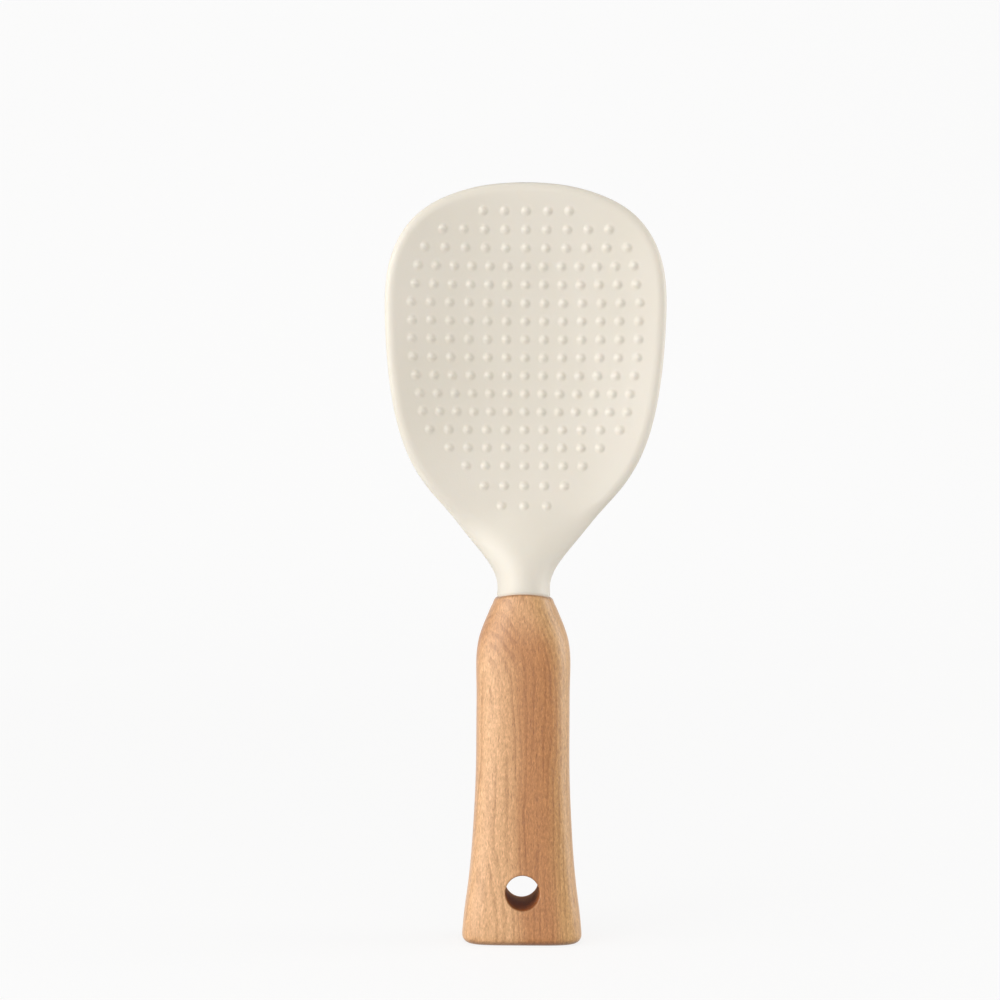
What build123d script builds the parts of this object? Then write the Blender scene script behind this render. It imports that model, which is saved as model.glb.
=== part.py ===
from build123d import *
import math
import os

os.makedirs("parts", exist_ok=True)

# Rice paddle, sizes in millimetres. It stands on z = 0 with its foot centred on the origin,
# +X is to the right and the dish faces -Y.

# Beech handle
handle_length = 101.0
foot_width = 35.5
foot_depth = 24.4
waist_width = 27.25
waist_depth = 20.0
top_width = 17.1
top_depth = 17.0
end_crown_radius = 30.0
end_rim_radius = 1.4
foot_edge_radius = 2.4
hang_hole_diameter = 9.9
hang_hole_height = 15.2
hang_hole_bevel = 0.4

# Silicone head, its heights counted from the crowned end of the handle
neck_diameter = 15.7
neck_fade_rise = 42.0
blade_root_rise = 4.5
blade_length = 114.9
blade_width = 81.8
web_thickness = 3.2
dish_floor_rise = 49.0
dish_floor_setback = 0.6
dish_depth = 6.2
dish_long_radius = 290.0
back_depth = 4.7
back_long_radius = 330.0
bowl_exponent = 2.2
bowl_half_steps = 6
rim_front_bevel = 1.3
rim_side_bevel = 0.45
rim_back_bevel = 0.8

# Dots on the dish, six-sided so that all of them stay light
dot_diameter = 2.6
dot_height = 0.55
dot_root = 0.4
dot_draft = 38.0
dot_sides = 6
top_row_drop = 8.3
row_pitch = 5.27
low_row_pitch = 5.85
low_row_gaps = 2

# Nylon core and its tang
skin_thickness = 0.7
neck_wall = 1.8
spine_thickness = 1.3
spine_width = 28.0
spine_foot_width = 10.0
spine_foot_rise = 3.0
spine_shoulder_rise = 25.0
spine_top_margin = 22.0
spine_corner_radius = 10.0
cone_tip_diameter = 5.0
cone_rise = 17.0
flow_hole_diameter = 4.0
flow_hole_pitch = 12.0
flow_hole_rows = 5
flow_hole_columns = 2
tang_diameter = 9.0
tang_length = 46.0
tang_groove_width = 2.4
tang_groove_depth = 0.6
tang_groove_pitch = 12.0
tang_groove_count = 3
tang_tip_chamfer = 0.8

# Glue line
glue_gap = 0.3
glue_well = 1.2

# Overrun of cutting tools
overrun = 12.0

# Handle sections, evenly spaced from the foot to just past the crowned end. The first two rows are
# how far each section widens to the foot and narrows to the top, the third is its squareness.
foot_flare_share = (1.0, 0.843, 0.60, 0.395, 0.25, 0.14, 0.056, 0.008, 0, 0, 0, 0, 0, 0, 0)
top_taper_share = (0, 0, 0, 0, 0, 0, 0, 0, 0, 0, -0.005, -0.03, 0.113, 0.607, 1.14)
section_squareness = (4.6, 4.4, 4.1, 3.8, 3.5, 3.3, 3.1, 2.9, 2.8, 2.7, 2.6, 2.5, 2.4, 2.3, 2.2)
end_allowance = 2.0
section_point_count = 24

# Right half of the blade outline: height share from root to top, width share of the half width.
outline_shares = (
    (0.000, 0.190),
    (0.045, 0.264),
    (0.105, 0.398),
    (0.167, 0.540),
    (0.228, 0.690),
    (0.289, 0.802),
    (0.380, 0.902),
    (0.502, 0.968),
    (0.665, 1.000),
    (0.773, 0.983),
    (0.862, 0.896),
    (0.924, 0.752),
    (0.969, 0.528),
    (0.992, 0.296),
)

# Neck stations between handle and blade: height share, width share, depth share, setback share.
neck_station_shares = (
    (-0.050, 1.00, 1.00, 0.0),
    (0.070, 0.985, 0.98, 0.0),
    (0.200, 1.06, 0.93, 0.05),
    (0.360, 1.36, 0.76, 0.5),
    (0.520, 1.62, 0.52, 1.0),
    (0.700, 1.66, 0.35, 1.24),
    (0.850, 1.42, 0.25, 1.24),
    (1.000, 1.05, 0.16, 1.2),
)

# Rows of dots from the top: how many, and how far the outer ones stand out as a share of half the width.
dots_in_row = (5, 9, 11, 13, 13, 13, 13, 13, 13, 13, 13, 13, 11, 9, 7, 5, 3)
row_span_share = (
    0.305, 0.587, 0.716, 0.763, 0.783, 0.810, 0.805, 0.805, 0.797,
    0.777, 0.748, 0.729, 0.678, 0.538, 0.417, 0.287, 0.161,
)

# Heights worked out from the sizes above
blade_root_height = handle_length + blade_root_rise
blade_top_height = blade_root_height + blade_length
dish_floor_height = handle_length + dish_floor_rise
spine_top_height = blade_top_height - spine_top_margin
spine_shoulder_height = handle_length + spine_shoulder_rise


def box_oval(width, depth, squareness, height):
    """Closed section between an oval and a rounded rectangle."""
    points = []
    for step in range(section_point_count):
        angle = 2 * math.pi * step / section_point_count
        across = math.copysign(abs(math.cos(angle)) ** (2 / squareness), math.cos(angle))
        along = math.copysign(abs(math.sin(angle)) ** (2 / squareness), math.sin(angle))
        points.append((width / 2 * across, depth / 2 * along, height))
    return make_face(Spline(*points, periodic=True))


def crowned_end():
    """Everything below the crowned end grain that the neck seats on."""
    centre = Location((0, 0, handle_length - end_crown_radius), (90, 0, 0))
    return centre * Cylinder(end_crown_radius, foot_depth + overrun)


def handle_blank():
    pitch = (handle_length + end_allowance) / (len(section_squareness) - 1)
    sections = []
    for step, squareness in enumerate(section_squareness):
        flare = foot_flare_share[step]
        taper = top_taper_share[step]
        width = waist_width + flare * (foot_width - waist_width) + taper * (top_width - waist_width)
        depth = waist_depth + flare * (foot_depth - waist_depth) + taper * (top_depth - waist_depth)
        sections.append(box_oval(width, depth, squareness, step * pitch))
    body = loft(sections)
    crown_height = handle_length - end_crown_radius
    above = Pos(0, 0, crown_height) * Box(
        foot_width + overrun, foot_depth + overrun, 2 * end_crown_radius,
        align=(Align.CENTER, Align.CENTER, Align.MIN),
    )
    body = body - (above - crowned_end())
    top_edges = body.edges().filter_by(lambda edge: edge.center().Z > handle_length - end_crown_radius / 2)
    body = fillet(top_edges.group_by(lambda edge: edge.center().Z)[-1], end_rim_radius)
    foot_edges = body.edges().group_by(Axis.Z)[0]
    return fillet(foot_edges, foot_edge_radius)


def tang_bore():
    depth = tang_length + glue_well
    bore = Cylinder(
        tang_diameter / 2 + glue_gap, depth + overrun,
        align=(Align.CENTER, Align.CENTER, Align.MIN),
    )
    return Pos(0, 0, handle_length - depth) * bore


def hanging_hole():
    return Location((0, 0, hang_hole_height), (90, 0, 0)) * Cylinder(
        hang_hole_diameter / 2, foot_depth + overrun
    )


def handle():
    body = handle_blank() - hanging_hole()
    hole_top = hang_hole_height + hang_hole_diameter
    rims = body.edges().filter_by(
        lambda edge: edge.bounding_box().size.Z > hang_hole_diameter / 2
        and edge.bounding_box().max.Z < hole_top
    )
    body = chamfer(rims, hang_hole_bevel)
    return body - tang_bore()


def blade_outline():
    """Front outline of the blade, closed behind the neck."""
    half_width = blade_width / 2
    right = [
        (width_share * half_width, blade_root_height + height_share * blade_length)
        for height_share, width_share in outline_shares
    ]
    left = [(-across, up) for across, up in reversed(right)]
    heel = (0, blade_root_height - neck_diameter / 4)
    return Plane.XZ * make_face(Spline(heel, *right, (0, blade_top_height), *left, periodic=True))


def bowl_sag(across, depth):
    """How far a bowl surface comes forward at a distance from its middle line."""
    return depth * abs(2 * across / blade_width) ** bowl_exponent


def bowl_side(setback, depth, long_radius, side):
    """Everything on one side of a bowl surface that curves across and lengthwise."""
    reach = blade_width / 2 + overrun
    stations = [reach * step / bowl_half_steps for step in range(-bowl_half_steps, bowl_half_steps + 1)]
    surface = Spline(*[(across, setback - bowl_sag(across, depth)) for across in stations])
    limit = setback + side * reach
    edge = Polyline(surface @ 1, (reach, limit), (-reach, limit), surface @ 0)
    half_turn = math.degrees(math.asin((blade_top_height - dish_floor_height + overrun) / long_radius))
    profile = Pos(0, 0, dish_floor_height) * make_face([surface, edge])
    turning_axis = Axis((0, setback - long_radius, dish_floor_height), (1, 0, 0))
    return revolve(profile.rotate(turning_axis, -half_turn), turning_axis, 2 * half_turn)


def rim_edges(plate):
    """Long edges round the blade, front one first."""
    long_edges = plate.edges().filter_by(lambda edge: edge.bounding_box().size.Z > blade_width / 2)
    return long_edges.sort_by(lambda edge: edge.center().Y)


def blade():
    """Dished plate with a rim that is eased front and back."""
    plate = extrude(Pos(0, blade_width / 2, 0) * blade_outline(), blade_width)
    plate = plate - bowl_side(dish_floor_setback, dish_depth, dish_long_radius, -1)
    plate = plate - bowl_side(dish_floor_setback + web_thickness, back_depth, back_long_radius, 1)
    plate = chamfer(rim_edges(plate)[-1], rim_back_bevel)
    plate = chamfer(rim_edges(plate)[0], rim_front_bevel)
    return chamfer(rim_edges(plate)[1], rim_side_bevel)


def dot():
    """One low dot with its root under the surface it stands on."""
    root_radius = dot_diameter / 2 + dot_root * math.tan(math.radians(dot_draft))
    root = Plane.XY.offset(-dot_root) * RegularPolygon(root_radius, dot_sides)
    return extrude(root, dot_root + dot_height, taper=dot_draft)


def dish_place(across, height):
    """Where a dot stands on the dish, facing straight out of it."""
    rise = height - dish_floor_height
    sag = bowl_sag(across, dish_depth)
    setback = dish_floor_setback - dish_long_radius + math.sqrt((dish_long_radius - sag) ** 2 - rise ** 2)
    cross_slope = bowl_exponent * sag / across if across else 0
    outward = (-cross_slope, -1, -rise / dish_long_radius)
    return Plane(origin=(across, setback, height), z_dir=outward).location


def dot_places():
    places = []
    height = blade_top_height - top_row_drop
    for row, count in enumerate(dots_in_row):
        half_span = row_span_share[row] * blade_width / 2
        for column in range(count):
            places.append(dish_place(half_span * (2 * column / (count - 1) - 1), height))
        gaps_below = len(dots_in_row) - 1 - row
        height -= row_pitch if gaps_below > low_row_gaps else low_row_pitch
    return places


def neck():
    """Round neck that flattens and fades into the back of the blade."""
    radius = neck_diameter / 2
    middle = dish_floor_setback + web_thickness / 2
    sections = []
    for height_share, width_share, depth_share, setback_share in neck_station_shares:
        section = Ellipse(width_share * radius, depth_share * radius)
        place = Location((0, setback_share * middle, handle_length + height_share * neck_fade_rise))
        sections.append(place * section)
    return loft(sections) - crowned_end()


def silicone_head(core):
    """Moulded skin with its dots, over the core."""
    dome = dot()
    return blade().fuse(neck(), *[place * dome for place in dot_places()]) - core


def tang():
    """Round tang with glue grooves."""
    rod = Cylinder(
        tang_diameter / 2, tang_length + end_allowance, align=(Align.CENTER, Align.CENTER, Align.MIN)
    )
    rod = chamfer(rod.edges().group_by(Axis.Z)[0], tang_tip_chamfer)
    groove_outer = Cylinder(tang_diameter / 2 + overrun, tang_groove_width)
    groove = groove_outer - Cylinder(tang_diameter / 2 - tang_groove_depth, tang_groove_width)
    first = tang_length / 2 - tang_groove_pitch * (tang_groove_count - 1) / 2
    for step in range(tang_groove_count):
        rod = rod - Pos(0, 0, first + step * tang_groove_pitch) * groove
    return Pos(0, 0, handle_length - tang_length) * rod


def spine():
    """Stiff strip up the middle of the blade, bent lengthwise like the dish and pierced by flow holes."""
    foot_height = handle_length + spine_foot_rise
    outline = Polygon(
        (-spine_foot_width / 2, foot_height), (spine_foot_width / 2, foot_height),
        (spine_width / 2, spine_shoulder_height), (spine_width / 2, spine_top_height),
        (-spine_width / 2, spine_top_height), (-spine_width / 2, spine_shoulder_height),
        align=None,
    )
    outline = fillet(outline.vertices().group_by(Axis.Y)[-1], spine_corner_radius)
    strip = extrude(Plane.XZ.offset(-blade_width / 2) * outline, blade_width)
    bend = Location((0, dish_floor_setback - dish_long_radius, dish_floor_height), (0, 90, 0))
    inner_radius = dish_long_radius + skin_thickness
    shell = Cylinder(inner_radius + spine_thickness, spine_width) - Cylinder(inner_radius, spine_width)
    strip = strip & (bend * shell)
    hole_row_pitch = (spine_top_height - spine_shoulder_height) / flow_hole_rows
    hole = Location((0, 0, 0), (90, 0, 0)) * Cylinder(flow_hole_diameter / 2, blade_width)
    for row in range(flow_hole_rows):
        height = spine_shoulder_height + row * hole_row_pitch + hole_row_pitch / 2
        for column in range(flow_hole_columns):
            across = (column - (flow_hole_columns - 1) / 2) * flow_hole_pitch
            strip = strip - Pos(across, 0, height) * hole
    return strip


def head_core():
    """Stiff core: spine, neck cone and tang in one moulding."""
    cone = Cone(
        neck_diameter / 2 - neck_wall, cone_tip_diameter / 2, cone_rise + end_allowance,
        align=(Align.CENTER, Align.CENTER, Align.MIN),
    )
    neck_core = Pos(0, 0, handle_length - end_allowance) * cone - crowned_end()
    return spine() + neck_core + tang()


def write(name, shape):
    shape.label = name
    export_step(shape, "parts/" + name + ".step")


wood = handle()
core = head_core()
skin = silicone_head(core)
glue = (tang_bore() & crowned_end()) - core
write("handle", wood)
write("head_core", core)
write("silicone_head", skin)
write("tang_glue", glue)
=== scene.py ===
import bpy
import math
import numpy as np
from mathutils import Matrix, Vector


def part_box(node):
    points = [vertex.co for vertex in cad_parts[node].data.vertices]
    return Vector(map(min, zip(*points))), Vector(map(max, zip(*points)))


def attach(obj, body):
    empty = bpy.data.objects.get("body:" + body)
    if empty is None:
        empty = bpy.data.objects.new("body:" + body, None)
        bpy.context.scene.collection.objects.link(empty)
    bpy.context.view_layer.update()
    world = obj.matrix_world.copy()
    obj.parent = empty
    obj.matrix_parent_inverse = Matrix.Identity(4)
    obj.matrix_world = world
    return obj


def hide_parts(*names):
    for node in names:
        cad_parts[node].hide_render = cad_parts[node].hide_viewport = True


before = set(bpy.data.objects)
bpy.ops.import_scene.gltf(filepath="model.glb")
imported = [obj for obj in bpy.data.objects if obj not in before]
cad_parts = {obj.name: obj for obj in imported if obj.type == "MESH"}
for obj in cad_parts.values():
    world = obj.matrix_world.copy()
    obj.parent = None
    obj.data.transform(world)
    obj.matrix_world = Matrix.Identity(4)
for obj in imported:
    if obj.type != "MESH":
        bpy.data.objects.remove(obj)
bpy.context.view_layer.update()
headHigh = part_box("silicone_head")[1]
mm = 0.001
print("frame loaded")


# Curves and meshes, in millimetres until a mesh is made

def quarterTurn(count):
    return np.linspace(0, math.pi / 2, count)


def smoothStep(low, high, value):
    t = np.clip((value - low) / (high - low), 0.0, 1.0)
    return t * t * (3.0 - 2.0 * t)


def splineThrough(knots, values, at):
    # natural cubic spline through (knots, values), read at the given places
    knots = np.asarray(knots, float)
    values = np.asarray(values, float)
    count = len(knots)
    gap = np.diff(knots)
    system = np.eye(count)
    right = np.zeros((count,) + values.shape[1:])
    slope = (np.diff(values, axis=0).T / gap).T
    for i in range(1, count - 1):
        system[i, i - 1] = gap[i - 1]
        system[i, i] = 2 * (gap[i - 1] + gap[i])
        system[i, i + 1] = gap[i]
        right[i] = 6 * (slope[i] - slope[i - 1])
    bend = np.linalg.solve(system, right)
    at = np.asarray(at, float)
    cell = np.clip(np.searchsorted(knots, at) - 1, 0, count - 2)
    h = gap[cell]
    a = (knots[cell + 1] - at) / h
    b = (at - knots[cell]) / h
    if values.ndim > 1:
        a, b, h = a[:, None], b[:, None], h[:, None]
    curved = ((a ** 3 - a) * bend[cell] + (b ** 3 - b) * bend[cell + 1]) * h * h / 6
    return a * values[cell] + b * values[cell + 1] + curved


def runAlong(line):
    # how far each point lies from the first, along the line
    return np.concatenate([[0], np.cumsum(np.hypot(*np.diff(line, axis=0).T))])


def evenPoints(line, count):
    # the same line drawn with evenly spaced points
    run = runAlong(line)
    even = np.linspace(0, run[-1], count)
    return np.stack([np.interp(even, run, line[:, 0]), np.interp(even, run, line[:, 1])], axis=1)


def addMesh(name, points, faces):
    mesh = bpy.data.meshes.new(name)
    mesh.from_pydata([tuple(p) for p in points], [], faces)
    mesh.update()
    mesh.validate()
    for polygon in mesh.polygons:
        polygon.use_smooth = True
    piece = bpy.data.objects.new(name, mesh)
    bpy.context.scene.collection.objects.link(piece)
    return piece


def ringFaces(first, second):
    # quads between two closed rings, both given as point numbers
    faces = []
    for i in range(len(first)):
        after = (i + 1) % len(first)
        faces.append((first[i], first[after], second[after], second[i]))
    return faces


# Shader helpers

def newMaterial(name):
    material = bpy.data.materials.new(name)
    material.use_nodes = True
    tree = material.node_tree
    shader = next(node for node in tree.nodes if node.type == "BSDF_PRINCIPLED")
    return material, tree, shader


def feed(tree, socket, value):
    # an output is linked, a number or a colour is set
    if hasattr(value, "is_linked"):
        tree.links.new(value, socket)
    elif isinstance(value, (int, float)):
        socket.default_value = value
    else:
        socket.default_value = (*value, 1.0)


def mathNode(tree, operation, first, second=None):
    node = tree.nodes.new("ShaderNodeMath")
    node.operation = operation
    feed(tree, node.inputs[0], first)
    if second is not None:
        feed(tree, node.inputs[1], second)
    return node.outputs[0]


def product(tree, first, *factors):
    for factor in factors:
        first = mathNode(tree, "MULTIPLY", first, factor)
    return first


def mixColour(tree, factor, first, second, blend="MIX"):
    node = tree.nodes.new("ShaderNodeMix")
    node.data_type = "RGBA"
    node.blend_type = blend
    for index, value in ((0, factor), (6, first), (7, second)):   # 6 and 7 are the colour sockets
        feed(tree, node.inputs[index], value)
    return node.outputs[2]


def remap(tree, value, fromLow, fromHigh, toLow=0.0, toHigh=1.0, smooth=True):
    node = tree.nodes.new("ShaderNodeMapRange")
    node.interpolation_type = "SMOOTHSTEP" if smooth else "LINEAR"
    tree.links.new(value, node.inputs["Value"])
    values = {"From Min": fromLow, "From Max": fromHigh, "To Min": toLow, "To Max": toHigh}
    for socketName, number in values.items():
        node.inputs[socketName].default_value = number
    return node.outputs["Result"]


def objectPlace(tree):
    return tree.nodes.new("ShaderNodeTexCoord").outputs["Object"]


def splitAxes(tree, vector):
    node = tree.nodes.new("ShaderNodeSeparateXYZ")
    tree.links.new(vector, node.inputs[0])
    return node.outputs


def addBump(tree, shader, height, strength, distance):
    bump = tree.nodes.new("ShaderNodeBump")
    bump.inputs["Strength"].default_value = strength
    bump.inputs["Distance"].default_value = distance
    tree.links.new(height, bump.inputs["Height"])
    tree.links.new(bump.outputs["Normal"], shader.inputs["Normal"])


def newGroup(name, inputs, outputs):
    # node group with named sockets: inputs as (name, kind, value), outputs as (name, kind)
    group = bpy.data.node_groups.new(name, "ShaderNodeTree")
    for socketName, kind, value in inputs:
        socket = group.interface.new_socket(socketName, in_out="INPUT", socket_type="NodeSocket" + kind)
        socket.default_value = value
    for socketName, kind in outputs:
        group.interface.new_socket(socketName, in_out="OUTPUT", socket_type="NodeSocket" + kind)
    given = group.nodes.new("NodeGroupInput").outputs
    result = group.nodes.new("NodeGroupOutput").inputs
    return group, given, result


def placeGroup(tree, group, values):
    node = tree.nodes.new("ShaderNodeGroup")
    node.node_tree = group
    for socketName, value in values.items():
        node.inputs[socketName].default_value = value
    return node.outputs


mottle = {
    "size": (0.01, 0.01, 0.01),   # metres
    "detail": 2.0,
    "distortion": 0.0,
    "roughness": 0.55,
}


def makeMottleGroup():
    # soft noise whose blobs measure Blob Size
    group, given, result = newGroup("stretchedMottle", (
        ("Blob Size", "Vector", mottle["size"]),
        ("Detail", "Float", mottle["detail"]),
        ("Distortion", "Float", mottle["distortion"]),
    ), (("Mask", "Float"),))
    links = group.links
    scaled = group.nodes.new("ShaderNodeVectorMath")
    scaled.operation = "DIVIDE"
    links.new(objectPlace(group), scaled.inputs[0])
    links.new(given["Blob Size"], scaled.inputs[1])
    noise = group.nodes.new("ShaderNodeTexNoise")
    noise.inputs["Scale"].default_value = 1.0
    noise.inputs["Roughness"].default_value = mottle["roughness"]
    links.new(scaled.outputs[0], noise.inputs["Vector"])
    links.new(given["Detail"], noise.inputs["Detail"])
    links.new(given["Distortion"], noise.inputs["Distortion"])
    links.new(noise.outputs["Fac"], result["Mask"])
    return group


mottleGroup = makeMottleGroup()


def stretchedNoise(tree, size, detail=mottle["detail"], distortion=mottle["distortion"]):
    values = {"Blob Size": size, "Detail": detail, "Distortion": distortion}
    return placeGroup(tree, mottleGroup, values)["Mask"]


# Silicone head

head = {
    "halfWidth": headHigh.x / mm - 0.03,   # the outline swells this much between its points
    "top": headHigh.z / mm,
    "root": 105.5,
    "neckRadius": 7.85,
    "neckBottom": 99.9,
    "neckWaist": (7.72, 103.6),   # half width and height
    "neckFlare": (8.72, 107.2),
    "outlineHeights": (0.045, 0.105, 0.167, 0.228, 0.289, 0.380, 0.502,
                       0.665, 0.773, 0.862, 0.924, 0.969, 0.992),
    "outlineWidths": (0.264, 0.398, 0.540, 0.690, 0.802, 0.902, 0.968,
                      1.000, 0.983, 0.896, 0.752, 0.528, 0.296),
    "floorHeight": 150.0,   # lowest place of the dish
    "floorSetback": 0.6,
    "web": 3.2,
    "dishDepth": 6.2,
    "dishBend": 290.0,
    "backDepth": 4.7,
    "backBend": 330.0,
    "bowlExponent": 2.2,
    "rimFront": 3.0,
    "rimBack": 2.2,
    "neckEnds": 104.0,
    "bladeStarts": 130.0,
    "spineWidth": 11.0,
    "frontLine": ((98, -7.85), (104, -7.78), (110, -6.9), (116, -4.85), (122, -2.3),
                  (127, -0.8), (133, -0.08), (139, 0.36), (145, 0.55)),   # height and y
    "backLine": ((98, 7.85), (104, 7.8), (112, 7.35), (120, 6.5),
                 (130, 5.2), (140, 4.2), (150, 3.8), (156, 3.75)),
    "seatCrease": 0.28,
    "seatCreaseRise": 0.55,
    "seatCrown": 30.0,   # the handle's end that the neck sits on
    "seatHeight": 101.0,
    "rows": 416,
    "frontColumns": 113,
    "backColumns": 26,
    "rimColumns": 14,
    "widestRimShare": 0.5,
    "fineSteps": 4000,
    "edgePoints": 1400,
    "edgeSearch": 12.0,
}
dots = {
    "counts": (5, 9, 11, 13, 13, 13, 13, 13, 13, 13, 13, 13, 11, 9, 7, 5, 3),
    "halfSpans": (0.305, 0.587, 0.716, 0.763, 0.783, 0.810, 0.805, 0.805, 0.797,
                  0.777, 0.748, 0.729, 0.678, 0.538, 0.417, 0.287, 0.161),
    "topDrop": 8.3,
    "pitch": 5.27,
    "lowPitch": 5.85,
    "lowGaps": 2,   # the last rows stand this many wider gaps apart
    "radius": 1.6,
    "height": 0.55,
}
silicone = {
    "shadeTone": (0.795, 0.740, 0.640),
    "tone": (0.83, 0.775, 0.68),
    "cloudSize": (0.045, 0.045, 0.06),
    "cloudCut": (0.35, 0.65),
    "grainSize": (0.0006, 0.0006, 0.0006),
    "grainCut": (0.3, 0.7),
    "roughness": (0.40, 0.50),
    "softness": 0.12,
    "softReach": (0.004, 0.003, 0.002),
    "grainStrength": 0.06,
    "grainDepth": 0.0003,
}


def headOutline(count):
    # right side of the front outline, from the neck to the tip
    rise = head["top"] - head["root"]
    right = [(head["neckRadius"], head["neckBottom"]), head["neckWaist"], head["neckFlare"]]
    right += [
        (head["halfWidth"] * w, head["root"] + h * rise)
        for h, w in zip(head["outlineHeights"], head["outlineWidths"])
    ]
    left = [(-x, z) for x, z in reversed(right)]
    points = np.array(right + [(0.0, head["top"])] + left)
    run = runAlong(points)
    fine = splineThrough(run, points, np.linspace(0, run[-1] / 2, head["fineSteps"]))
    return evenPoints(fine, count)


def arcLine(setback, bend, z):
    return setback - bend + np.sqrt(bend ** 2 - (z - head["floorHeight"]) ** 2)


def neckLine(knots, plain, z):
    # what the neck's own line adds to the plain blade, up to its last knot
    heights, depths = zip(*knots)
    line = splineThrough(heights, depths, np.clip(z, heights[0], heights[-1]))
    return np.where(z > heights[-1], 0.0, line - plain)


def bowlSag(x, depth):
    return depth * np.abs(x / head["halfWidth"]) ** head["bowlExponent"]


def headSides(x, z, edgeGap, width):
    # front and back y of the head at points (x, z) that lie edgeGap inside the outline
    blade = smoothStep(head["neckEnds"], head["bladeStarts"], z)
    plainFront = arcLine(head["floorSetback"], head["dishBend"], z)
    plainBack = arcLine(head["floorSetback"] + head["web"], head["backBend"], z)
    frontFace = plainFront - blade * bowlSag(x, head["dishDepth"])
    backFace = plainBack - blade * bowlSag(x, head["backDepth"])
    middle = blade * (frontFace + backFace) / 2
    spine = np.exp(-blade * (x / head["spineWidth"]) ** 2)
    frontReach = middle - frontFace - neckLine(head["frontLine"], plainFront, z) * spine
    backReach = backFace - middle + neckLine(head["backLine"], plainBack, z) * spine
    sides = []
    for reach, rim, sign in ((frontReach, head["rimFront"], -1), (backReach, head["rimBack"], 1)):
        radius = width + (rim - width) * blade
        inner = np.clip(1 - edgeGap / radius, 0, 1)
        sides.append(middle + sign * reach * np.sqrt(1 - inner ** 2))
    return sides


def dotLift(x, z):
    lift = np.zeros_like(x)
    rowHeight = head["top"] - dots["topDrop"]
    firstLow = len(dots["counts"]) - 1 - dots["lowGaps"]
    for row, count in enumerate(dots["counts"]):
        halfSpan = dots["halfSpans"][row] * head["halfWidth"]
        for centre in np.linspace(-halfSpan, halfSpan, count):
            near = (np.abs(x - centre) < dots["radius"]) & (np.abs(z - rowHeight) < dots["radius"])
            reach = ((x[near] - centre) ** 2 + (z[near] - rowHeight) ** 2) / dots["radius"] ** 2
            lift[near] += dots["height"] * np.clip(1 - reach, 0, 1) ** 2
        rowHeight -= dots["pitch"] if row < firstLow else dots["lowPitch"]
    return lift


def seatInset(x, z):
    # the neck draws in a little just above the crowned end of the handle
    crown = head["seatHeight"] - head["seatCrown"] + np.sqrt(head["seatCrown"] ** 2 - x ** 2)
    inset = head["seatCrease"] * (1 - smoothStep(0.0, head["seatCreaseRise"], z - crown))
    return 1 - inset / head["neckRadius"]


def columnShares(inside, rimShare):
    # shares of the half width from the middle line out to the edge, closer together at the edge
    flat = np.linspace(0, 1 - rimShare, inside + 1)[:-1]
    return np.concatenate([flat, 1 - rimShare + rimShare * np.sin(quarterTurn(head["rimColumns"] + 1))])


def headRow(width, z, rimShare, edge):
    # one closed row of points round the head: front from right to left, then back
    near = edge[np.abs(edge[:, 1] - z) < head["edgeSearch"]]
    row = []
    for side, columns in enumerate((head["frontColumns"], head["backColumns"])):
        across = columnShares(columns, rimShare) * width
        heights = np.full_like(across, z)
        gap = np.sqrt(((across[:, None] - near[:, 0]) ** 2 + (z - near[:, 1]) ** 2).min(axis=1))
        gap[-1] = 0
        y = headSides(across, heights, gap, width)[side]
        if side == 0:
            y = y - dotLift(across, heights)
            row += [(x, v, z) for x, v in zip(across[::-1], y[::-1])]
            row += [(-x, v, z) for x, v in zip(across[1:], y[1:])]
        else:
            row += [(-x, v, z) for x, v in zip(across[-2::-1], y[-2::-1])]
            row += [(x, v, z) for x, v in zip(across[1:-1], y[1:-1])]
    row = np.array(row)
    if z < head["neckEnds"]:
        row[:, :2] *= seatInset(row[:, 0], z)[:, None]
    return row


def makeHead():
    outline = headOutline(head["rows"] + 1)[:-1]
    edge = headOutline(head["edgePoints"])
    rimShares = np.clip(head["rimFront"] / outline[:, 0], 0, head["widestRimShare"])
    rows = [headRow(width, z, rimShare, edge) for (width, z), rimShare in zip(outline, rimShares)]
    ring = len(rows[0])
    points = np.concatenate(rows) * mm
    loops = np.arange(len(points)).reshape(-1, ring).tolist()
    faces = []
    for lower, upper in zip(loops, loops[1:]):
        faces += ringFaces(lower, upper)
    # one point closes the tip and one the seat
    tip = points[-ring:].mean(axis=0)
    tip[0] = 0.0
    tip[2] = head["top"] * mm
    tipIndex, seatIndex = len(points), len(points) + 1
    points = np.vstack([points, tip, [0.0, 0.0, head["neckBottom"] * mm]])
    for i in range(ring):
        faces.append((loops[-1][i], loops[-1][(i + 1) % ring], tipIndex))
    for i in range(ring):
        faces.append((loops[0][(i + 1) % ring], loops[0][i], seatIndex))
    return addMesh("moulded_head", points, faces)


def siliconeMaterial():
    material, tree, shader = newMaterial("creamSilicone")
    cloud = remap(tree, stretchedNoise(tree, silicone["cloudSize"]), *silicone["cloudCut"])
    grain = stretchedNoise(tree, silicone["grainSize"])
    roughness = remap(tree, grain, *silicone["grainCut"], *silicone["roughness"])
    colour = mixColour(tree, cloud, silicone["shadeTone"], silicone["tone"])
    feed(tree, shader.inputs["Base Color"], colour)
    feed(tree, shader.inputs["Roughness"], roughness)
    shader.inputs["Subsurface Weight"].default_value = silicone["softness"]
    shader.inputs["Subsurface Radius"].default_value = silicone["softReach"]
    shader.inputs["Subsurface Scale"].default_value = 1.0
    addBump(tree, shader, grain, silicone["grainStrength"], silicone["grainDepth"])
    return material


headPiece = makeHead()
headPiece.data.materials.append(siliconeMaterial())
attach(headPiece, "root")
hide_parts("silicone_head")
print("silicone head made,", len(headPiece.data.vertices), "points")


# Beech handle

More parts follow.
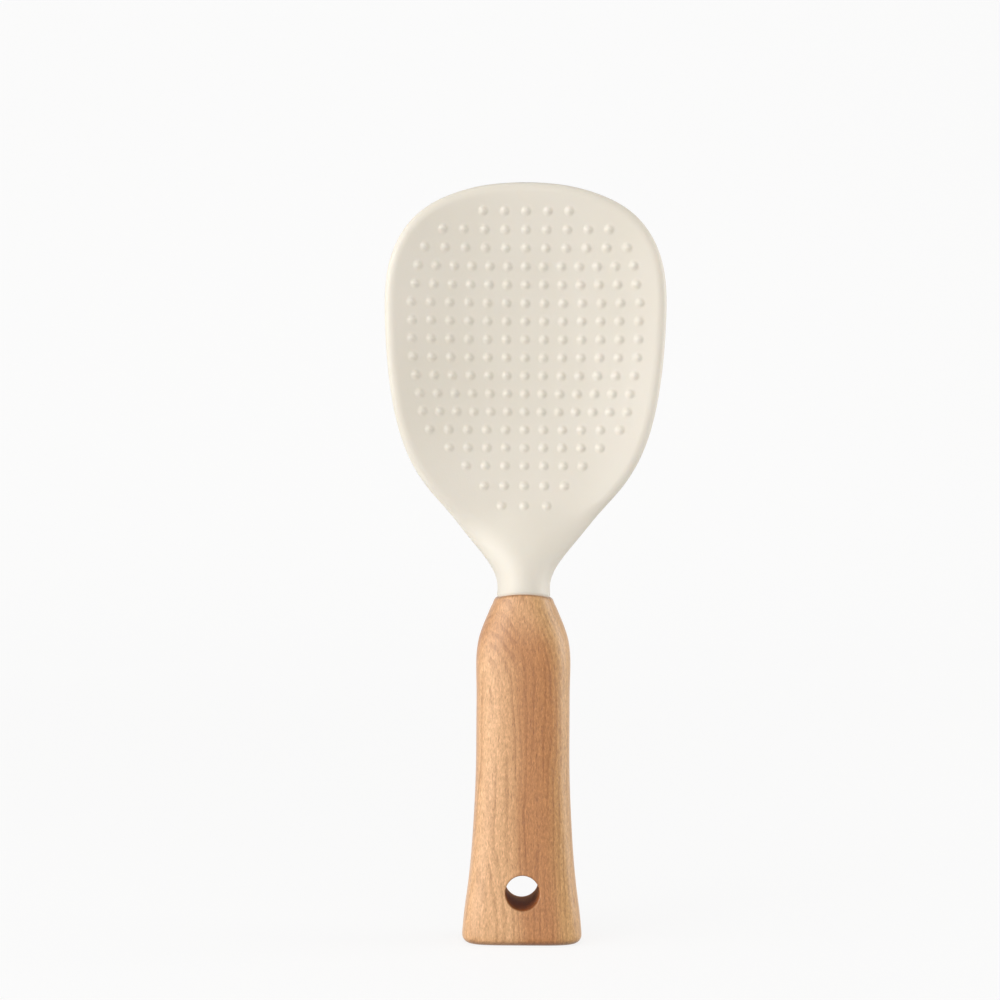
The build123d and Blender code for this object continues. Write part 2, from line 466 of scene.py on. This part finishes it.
handle = {
    "length": 101.0,
    "footWidth": 35.1,
    "footDepth": 24.4,
    "waistWidth": 27.25,
    "waistDepth": 20.0,
    "topWidth": 17.1,
    "topDepth": 17.0,
    "allowance": 2.0,   # the three rows below run from the foot to this far past the top end
    "flare": (1.0, 0.843, 0.60, 0.395, 0.25, 0.14, 0.056, 0.008, 0, 0, 0, 0, 0, 0, 0),
    "taper": (0, 0, 0, 0, 0, 0, 0, 0, 0, 0, -0.005, -0.03, 0.135, 0.68, 1.27),
    "squareness": (4.6, 4.4, 4.1, 3.8, 3.5, 3.3, 3.1, 2.9, 2.8, 2.7, 2.6, 2.5, 2.4, 2.3, 2.2),
    "crownRadius": 30.0,
    "crownAllowance": 1.1,
    "rimRadius": 0.7,
    "rimRun": 0.8,   # the crown's curve starts this far below the rim
    "topInnerRadius": 5.6,
    "topRings": 10,
    "sideRings": 180,
    "sideTopGap": 4.0,
    "footRadius": 2.4,
    "footRings": 8,
    "footShares": (0.25, 0.6),
    "segments": 176,
    "fineSteps": 1500,
    "holeRadius": 4.95,
    "holeHeight": 15.2,
    "holeEase": 0.45,
    "holeFrame": 7.6,   # half the block of the grid that is drawn round the hole
    "holeShares": (0.2, 0.4, 0.58, 0.74, 0.87, 0.95, 1.0),
    "holeEaseRings": 6,
    "holeWallRings": 9,
    "wallMargin": 0.02,
}


def handleSection(z):
    stations = np.linspace(0, handle["length"] + handle["allowance"], len(handle["squareness"]))
    z = np.atleast_1d(np.asarray(z, float))
    flare = splineThrough(stations, handle["flare"], z)
    taper = splineThrough(stations, handle["taper"], z)
    square = splineThrough(stations, handle["squareness"], z)
    width = handle["waistWidth"] + flare * (handle["footWidth"] - handle["waistWidth"])
    width += taper * (handle["topWidth"] - handle["waistWidth"])
    depth = handle["waistDepth"] + flare * (handle["footDepth"] - handle["waistDepth"])
    depth += taper * (handle["topDepth"] - handle["waistDepth"])
    return width / 2, depth / 2, square


def ovalRing(halfWidth, halfDepth, square):
    # evenly spaced points on a quarter from the side to the front, mirrored all round
    angle = quarterTurn(handle["fineSteps"])
    fine = np.stack([
        halfWidth * np.abs(np.cos(angle)) ** (2 / square),
        halfDepth * np.abs(np.sin(angle)) ** (2 / square),
    ], axis=1)
    fine[-1, 0] = 0.0
    fine[0, 1] = 0.0
    x, y = evenPoints(fine, handle["segments"] // 4 + 1).T
    ringX = np.concatenate([x, -x[-2::-1], -x[1:], x[-2:0:-1]])
    ringY = np.concatenate([-y, -y[-2::-1], y[1:], y[-2:0:-1]])
    return ringX, ringY


def drawnRing(sectionHeight, drawn=0.0, share=1.0):
    # the section at a height, drawn in by a rounding and then scaled
    halfWidth, halfDepth, square = (v[0] for v in handleSection(sectionHeight))
    return ovalRing((halfWidth - drawn) * share, (halfDepth - drawn) * share, square)


def crownDrop(x):
    radius = handle["crownRadius"]
    return radius - np.sqrt(np.maximum(radius ** 2 - x ** 2, 1.0))


def footRings():
    radius = handle["footRadius"]
    rings = []
    for share in handle["footShares"]:
        x, y = drawnRing(radius, radius, share)
        rings.append(np.stack([x, y, np.zeros_like(x)], axis=1))
    for turn in quarterTurn(handle["footRings"])[:-1]:
        z = radius * (1 - math.cos(turn))
        x, y = drawnRing(z, radius * (1 - math.sin(turn)))
        rings.append(np.stack([x, y, np.full_like(x, z)], axis=1))
    return rings


def sideRings():
    rings = []
    high = handle["length"] - handle["sideTopGap"]
    for z in np.linspace(handle["footRadius"], high, handle["sideRings"]):
        x, y = drawnRing(z)
        rings.append(np.stack([x, y, np.full_like(x, z)], axis=1))
    return rings


def topRings():
    # rolled rim and crowned end
    rings = []
    rim = handle["rimRadius"]
    rolls = [(-handle["rimRun"], 0.0)]
    for turn in quarterTurn(handle["topRings"]):
        rolls.append((rim * math.sin(turn), rim * (1 - math.cos(turn))))
    for lift, drawn in rolls:
        x, y = drawnRing(handle["length"] - handle["crownAllowance"] - rim + lift, drawn)
        rings.append(np.stack([x, y, handle["length"] - rim + lift - crownDrop(x)], axis=1))
    x, y = ovalRing(handle["topInnerRadius"], handle["topInnerRadius"], 2.0)
    rings.append(np.stack([x, y, handle["length"] - crownDrop(x)], axis=1))
    return rings


def surfaceY(x, z):
    halfWidth, halfDepth, square = handleSection(z)
    return halfDepth * np.clip(1 - np.abs(x / halfWidth) ** square, 0, 1) ** (1 / square)


def addLoop(points, faces, previous, xs, ys, zs):
    start = len(points)
    points.extend(zip(xs, ys, zs))
    fresh = list(range(start, start + len(xs)))
    faces += ringFaces(previous, fresh)
    return fresh


def makeHoleMouth(points, faces, loop, side):
    # from the open block of the grid in to the rounded edge of the hole
    outer = np.array([(points[i][0], points[i][2]) for i in loop])
    centre = np.array([0.0, handle["holeHeight"]])
    angle = np.arctan2(outer[:, 1] - centre[1], outer[:, 0] - centre[0])
    ray = np.stack([np.cos(angle), np.sin(angle)], axis=1)
    ease = handle["holeEase"]
    mouth = centre + (handle["holeRadius"] + ease) * ray
    places = [(outer + (mouth - outer) * share, 0.0) for share in handle["holeShares"]]
    for turn in quarterTurn(handle["holeEaseRings"])[1:]:
        radius = handle["holeRadius"] + ease * (1 - math.sin(turn))
        places.append((centre + radius * ray, ease * (1 - math.cos(turn))))
    for place, sunk in places:
        y = side * (surfaceY(place[:, 0], place[:, 1]) - sunk)
        loop = addLoop(points, faces, loop, place[:, 0], y, place[:, 1])
    return loop, angle


def makeHoleWall(points, faces, frontMouth, backMouth):
    # wall of the hole, from the front loop to the matching points of the back loop
    (loop, frontAngle), (backLoop, backAngle) = frontMouth, backMouth
    order = [int(np.argmin(np.abs(np.angle(np.exp(1j * (backAngle - a)))))) for a in frontAngle]
    matched = [backLoop[i] for i in order]
    front = np.array([points[i] for i in loop])
    back = np.array([points[i] for i in matched])
    for share in np.linspace(0, 1, handle["holeWallRings"])[1:-1]:
        place = front + (back - front) * share
        loop = addLoop(points, faces, loop, place[:, 0], place[:, 1], place[:, 2])
    faces += ringFaces(loop, matched)


def makeHandle():
    foot, sides = footRings(), sideRings()
    rings = foot + sides + topRings()
    points = [tuple(p) for ring in rings for p in ring]
    quarter = handle["segments"] // 4
    half = handle["holeFrame"]
    # the block of grid cells round the hanging hole is left open, front and back
    heights = [ring[0][2] for ring in sides]
    low = int(np.searchsorted(heights, handle["holeHeight"] - half)) + len(foot)
    high = int(np.searchsorted(heights, handle["holeHeight"] + half)) + len(foot)
    span = quarter - int(np.argmin(np.abs(rings[low][:quarter + 1, 0] - half)))
    blocks = [(middle - span, middle + span) for middle in (quarter, 3 * quarter)]
    loops = np.arange(len(points)).reshape(len(rings), -1).tolist()
    faces = []
    for row, (lower, upper) in enumerate(zip(loops, loops[1:])):
        for column, face in enumerate(ringFaces(lower, upper)):
            if not (low <= row < high and any(a <= column < b for a, b in blocks)):
                faces.append(face)
    mouths = []
    for (a, b), side in zip(blocks, (-1, 1)):
        loop = loops[low][a:b] + [loops[row][b] for row in range(low, high)]
        loop += loops[high][b:a:-1] + [loops[row][a] for row in range(high, low, -1)]
        mouths.append(makeHoleMouth(points, faces, loop, side))
    makeHoleWall(points, faces, *mouths)
    faces.append(tuple(loops[0][::-1]))
    faces.append(tuple(loops[-1]))
    return addMesh("turned_handle", np.array(points) * mm, faces)


beech = {
    "pith": (-0.024, -0.029),   # metres from the handle's axis
    "ringSpacing": 0.00150,
    "wander": 0.0026,   # how far the growth rings wander
    "wanderSize": (0.010, 0.010, 0.045),
    "shoulder": (0.076, 0.104),   # heights between which the rings sweep over
    "shoulderSweep": 0.0060,
    "lineRise": (0.25, 0.88),   # slow start and quick end of a growth line
    "lineFall": (0.90, 1.0),
    "patchSize": (0.0022, 0.0022, 0.035),
    "patchCut": (0.38, 0.62),
    "faintestLine": 0.15,
    "heartAndShadeBand": (0.0248, 0.0320),   # distances from the pith over which the dark band of heart tone and painted shade comes in
    "rightBand": (0.0360, 0.0425),
    "litShoulderHeights": (0.084, 0.098),   # heights between which the dark band fades: painted light on the upturned shoulder
    "litShoulderHeartShare": 0.35,
    # the pale left tone is wood tone with painted sheen from the left lamps; the heart tone is heart
    # colour with painted shade across the centre
    "leftWoodAndSheenTone": (0.78, 0.445, 0.215),
    "heartAndShadeTone": (0.535, 0.230, 0.078),
    "rightTone": (0.65, 0.365, 0.145),
    "lineTone": (0.62, 0.52, 0.42),
    # darker tone for end grain, which also paints shade under the foot
    "endGrainAndShadeTone": (0.62, 0.56, 0.50),
    "upDownFacing": (0.15, 0.80),
    "fleckSize": (0.00040, 0.00040, 0.0011),
    "paleFleck": (0.52, 0.70),
    "paleFleckTone": (1.35, 1.45, 1.6),
    "darkFleck": (0.48, 0.32),
    "darkFleckTone": (0.70, 0.62, 0.52),
    "poreSize": (0.00034, 0.00034, 0.0024),
    "poreCut": (0.62, 0.72),
    "poreTone": (0.62, 0.52, 0.44),
    "reliefCut": (0.3, 0.7),
    "reliefStrength": 0.35,
    "reliefDepth": 0.0002,
    "roughnessSpread": 0.05,
    "coatRoughness": 0.38,
}


def pithReach(tree, place):
    # distance from the pith, which runs upright outside the blank
    fromPith = tree.nodes.new("ShaderNodeVectorMath")
    fromPith.operation = "MULTIPLY_ADD"
    fromPith.inputs[1].default_value = (1.0, 1.0, 0.0)
    fromPith.inputs[2].default_value = (-beech["pith"][0], -beech["pith"][1], 0.0)
    tree.links.new(place, fromPith.inputs[0])
    reach = tree.nodes.new("ShaderNodeVectorMath")
    reach.operation = "LENGTH"
    tree.links.new(fromPith.outputs[0], reach.inputs[0])
    return reach.outputs["Value"]


def makeGrainAndLightGroup():
    # growth rings, flecks and pores of beech, a pale left side (wood tone and painted sheen), a dark
    # heart band (heart colour and painted shade), and darker end grain that also paints shade under the
    # foot
    group, given, result = newGroup("beechGrainAndPaintedLight", (
        ("Line Strength", "Float", 0.5), ("Fleck Strength", "Float", 0.5),
    ), (("Colour", "Color"), ("Relief", "Float")))
    strength = given["Fleck Strength"]
    place = objectPlace(group)
    height = splitAxes(group, place)["Z"]
    wander = stretchedNoise(group, beech["wanderSize"])
    wander = remap(group, wander, 0.0, 1.0, -beech["wander"], beech["wander"], smooth=False)
    sweep = remap(group, height, *beech["shoulder"], 0.0, beech["shoulderSweep"])
    reach = mathNode(group, "ADD", mathNode(group, "ADD", pithReach(group, place), sweep), wander)

    ring = mathNode(group, "FRACT", mathNode(group, "DIVIDE", reach, beech["ringSpacing"]))
    rise = remap(group, ring, *beech["lineRise"])
    fall = remap(group, ring, *beech["lineFall"], 1.0, 0.0)
    patch = stretchedNoise(group, beech["patchSize"])
    patch = remap(group, patch, *beech["patchCut"], beech["faintestLine"], 1.0)
    lines = product(group, rise, fall, patch, given["Line Strength"])

    heartAndShade = remap(group, reach, *beech["heartAndShadeBand"])
    # the dark band fades towards the top: painted light where the shoulder turns up
    heartAndShade = product(group, heartAndShade, remap(group, height, *beech["litShoulderHeights"], 1.0, beech["litShoulderHeartShare"]))
    right = remap(group, reach, *beech["rightBand"])
    # end grain at the foot and the top end drinks more oil and is darker; the same darkening of up- and
    # down-facing surfaces is painted shade on the foot's down-turned rounding
    facing = splitAxes(group, group.nodes.new("ShaderNodeNewGeometry").outputs["Normal"])["Z"]
    endGrainAndShade = remap(group, mathNode(group, "ABSOLUTE", facing), *beech["upDownFacing"])

    fleck = stretchedNoise(group, beech["fleckSize"], detail=1.0, distortion=0.5)
    pale = product(group, remap(group, fleck, *beech["paleFleck"]), strength)
    dark = product(group, remap(group, fleck, *beech["darkFleck"]), strength)
    pore = remap(group, stretchedNoise(group, beech["poreSize"], detail=1.0), *beech["poreCut"])

    # pale left side: wood tone with painted sheen; dark centre band: heart colour with painted shade
    colour = mixColour(group, heartAndShade, beech["leftWoodAndSheenTone"], beech["heartAndShadeTone"])
    colour = mixColour(group, right, colour, beech["rightTone"])
    for mask, tone in (
        (lines, "lineTone"), (endGrainAndShade, "endGrainAndShadeTone"), (pale, "paleFleckTone"), (dark, "darkFleckTone"),
        (product(group, pore, strength), "poreTone"),
    ):
        colour = mixColour(group, mask, colour, beech[tone], "MULTIPLY")
    group.links.new(colour, result["Colour"])
    group.links.new(mathNode(group, "SUBTRACT", fleck, pore), result["Relief"])
    return group


def beechMaterial(name, lineStrength, fleckStrength, roughness, coat, shade=None):
    material, tree, shader = newMaterial(name)
    grain = placeGroup(tree, grainAndLightGroup, {"Line Strength": lineStrength, "Fleck Strength": fleckStrength})
    colour, relief = grain["Colour"], grain["Relief"]
    # painted shade: the colour is multiplied by the given shade
    if shade:
        colour = mixColour(tree, 1.0, colour, shade, "MULTIPLY")
    spread = beech["roughnessSpread"]
    uneven = remap(tree, relief, *beech["reliefCut"], roughness - spread, roughness + spread)
    feed(tree, shader.inputs["Base Color"], colour)
    feed(tree, shader.inputs["Roughness"], uneven)
    shader.inputs["Coat Weight"].default_value = coat
    shader.inputs["Coat Roughness"].default_value = beech["coatRoughness"]
    addBump(tree, shader, relief, beech["reliefStrength"], beech["reliefDepth"])
    return material


handlePiece = makeHandle()
grainAndLightGroup = makeGrainAndLightGroup()
satinBeech = beechMaterial("satinBeech", lineStrength=0.62, fleckStrength=0.58, roughness=0.42, coat=0.35)
# the hole's wall: a darker, deeper-coloured copy of beech that paints the shade inside the hole
shadedBoreBeech = beechMaterial("shadedBoreBeech", lineStrength=0.4, fleckStrength=0.5, roughness=0.8, coat=0.0,
                          shade=(1.0, 0.74, 0.42))
handlePiece.data.materials.append(satinBeech)
handlePiece.data.materials.append(shadedBoreBeech)
# the wall of the hanging hole takes the second material, the copy with painted shade
for polygon in handlePiece.data.polygons:
    middle = polygon.center
    fromAxis = math.hypot(middle.x, middle.z - handle["holeHeight"] * mm)
    if fromAxis < (handle["holeRadius"] + handle["wallMargin"]) * mm:
        polygon.material_index = 1
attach(handlePiece, "root")
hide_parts("handle")
print("handle made,", len(handlePiece.data.vertices), "points")


# Inner pieces keep their frame shape

innerPieces = {
    "head_core": {"name": "naturalNylon", "colour": (0.66, 0.63, 0.54), "roughness": 0.45},
    "tang_glue": {"name": "curedGlue", "colour": (0.58, 0.47, 0.26), "roughness": 0.3},
}
speck = {
    "size": (0.0015, 0.0015, 0.0015),
    "detail": 3.0,
    "cut": (0.3, 0.7),
    "shade": 0.9,
}


def plainMaterial(name, colour, roughness):
    material, tree, shader = newMaterial(name)
    mask = remap(tree, stretchedNoise(tree, speck["size"], detail=speck["detail"]), *speck["cut"])
    darker = tuple(c * speck["shade"] for c in colour)
    feed(tree, shader.inputs["Base Color"], mixColour(tree, mask, darker, colour))
    shader.inputs["Roughness"].default_value = roughness
    return material


for nodeName, finish in innerPieces.items():
    material = plainMaterial(**finish)
    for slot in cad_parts[nodeName].material_slots:
        slot.material = material
print("inner pieces finished")


# Studio

studio = {
    "cameraPlace": (-7.1, -634.0, 128.3),   # millimetres
    "focalPixels": 2166.0,
    "imagePixels": 1000.0,
    "sensorWidth": 36.0,
    "rollDegrees": -0.34,
    "floorSize": 3.0,
    "floorBend": 0.5,
    "floorBendSteps": 16,
    "floorRoughness": 0.9,
    "floorSpecular": 0.1,
    "floorTone": (0.50, 0.50, 0.50),
    "floorSeenTone": (0.15, 0.15, 0.15),
    "floorLift": (0.83, 0.87),   # near and far
    "floorLiftRange": (0.0, 1.4),
    "worldTone": (1.0, 0.99, 0.97),
    "worldStrength": 0.53,
    "worldSeen": 0.95,
    "lampAim": (0.0, 0.0, 0.12),
    "lamps": (   # name, place, width and height, watts
        ("windowLeft", (-0.78, -0.36, 0.22), (0.9, 0.6), 4.4),
        ("keyLeft", (-0.62, -0.75, 0.22), (0.5, 0.6), 2.2),
        ("fillRight", (0.85, 0.05, 0.16), (0.5, 0.6), 4.2),
        ("softFront", (-0.20, -1.30, 0.18), (1.0, 0.5), 2.2),
    ),
}


def seenBackdrop(tree):
    # 1 for what the camera sees, straight or in gloss and glass, 0 for light on the paddle
    path = tree.nodes.new("ShaderNodeLightPath").outputs
    bright = mathNode(tree, "MAXIMUM", path["Is Glossy Ray"], path["Is Transmission Ray"])
    return mathNode(tree, "MAXIMUM", path["Is Camera Ray"], bright)


def floorMaterial():
    material, tree, shader = newMaterial("paleFloor")
    seen = seenBackdrop(tree)
    depth = splitAxes(tree, objectPlace(tree))["Y"]
    tone = mixColour(tree, seen, studio["floorTone"], studio["floorSeenTone"])
    # the lift keeps the backdrop pale and throws no light on the paddle
    lift = remap(tree, depth, *studio["floorLiftRange"], *studio["floorLift"])
    feed(tree, shader.inputs["Base Color"], tone)
    feed(tree, shader.inputs["Emission Strength"], product(tree, seen, lift))
    shader.inputs["Emission Color"].default_value = (1.0, 1.0, 1.0, 1.0)
    shader.inputs["Roughness"].default_value = studio["floorRoughness"]
    shader.inputs["Specular IOR Level"].default_value = studio["floorSpecular"]
    return material


def makeFloor():
    # flat sheet that bends up into a backdrop behind the paddle
    half = studio["floorSize"] / 2
    bend = studio["floorBend"]
    profile = [(-half, 0.0), (half - bend, 0.0)]
    for turn in quarterTurn(studio["floorBendSteps"])[1:]:
        profile.append((half - bend + bend * math.sin(turn), bend * (1 - math.cos(turn))))
    profile.append((half, half))
    points = [(x, y, z) for y, z in profile for x in (-half, half)]
    faces = [(2 * i, 2 * i + 1, 2 * i + 3, 2 * i + 2) for i in range(len(profile) - 1)]
    floor = addMesh("studio_floor", points, faces)
    floor.data.materials.append(floorMaterial())


def addArea(name, place, size, power):
    light = bpy.data.lights.new(name, "AREA")
    light.shape = "RECTANGLE"
    light.size, light.size_y = size
    light.energy = power
    lamp = bpy.data.objects.new(name, light)
    lamp.location = place
    direction = Vector(studio["lampAim"]) - Vector(place)
    lamp.rotation_euler = direction.to_track_quat("-Z", "Y").to_euler()
    bpy.context.scene.collection.objects.link(lamp)


def makeWorld():
    world = bpy.data.worlds.new("paleStudio")
    world.use_nodes = True
    tree = world.node_tree
    background = tree.nodes["Background"].inputs
    background["Color"].default_value = (*studio["worldTone"], 1.0)
    strengths = (studio["worldStrength"], studio["worldSeen"])
    strength = remap(tree, seenBackdrop(tree), 0.0, 1.0, *strengths, smooth=False)
    feed(tree, background["Strength"], strength)
    bpy.context.scene.world = world


def makeCamera():
    view = bpy.data.cameras.new("photoView")
    view.sensor_width = studio["sensorWidth"]
    view.lens = studio["focalPixels"] / studio["imagePixels"] * view.sensor_width
    camera = bpy.data.objects.new("photoView", view)
    camera.location = [v * mm for v in studio["cameraPlace"]]
    camera.rotation_euler = (math.pi / 2, math.radians(studio["rollDegrees"]), 0.0)
    bpy.context.scene.collection.objects.link(camera)
    bpy.context.scene.camera = camera


makeFloor()
for lamp in studio["lamps"]:
    addArea(*lamp)
makeWorld()
makeCamera()
bpy.context.scene.view_settings.view_transform = "Standard"
print("studio made")
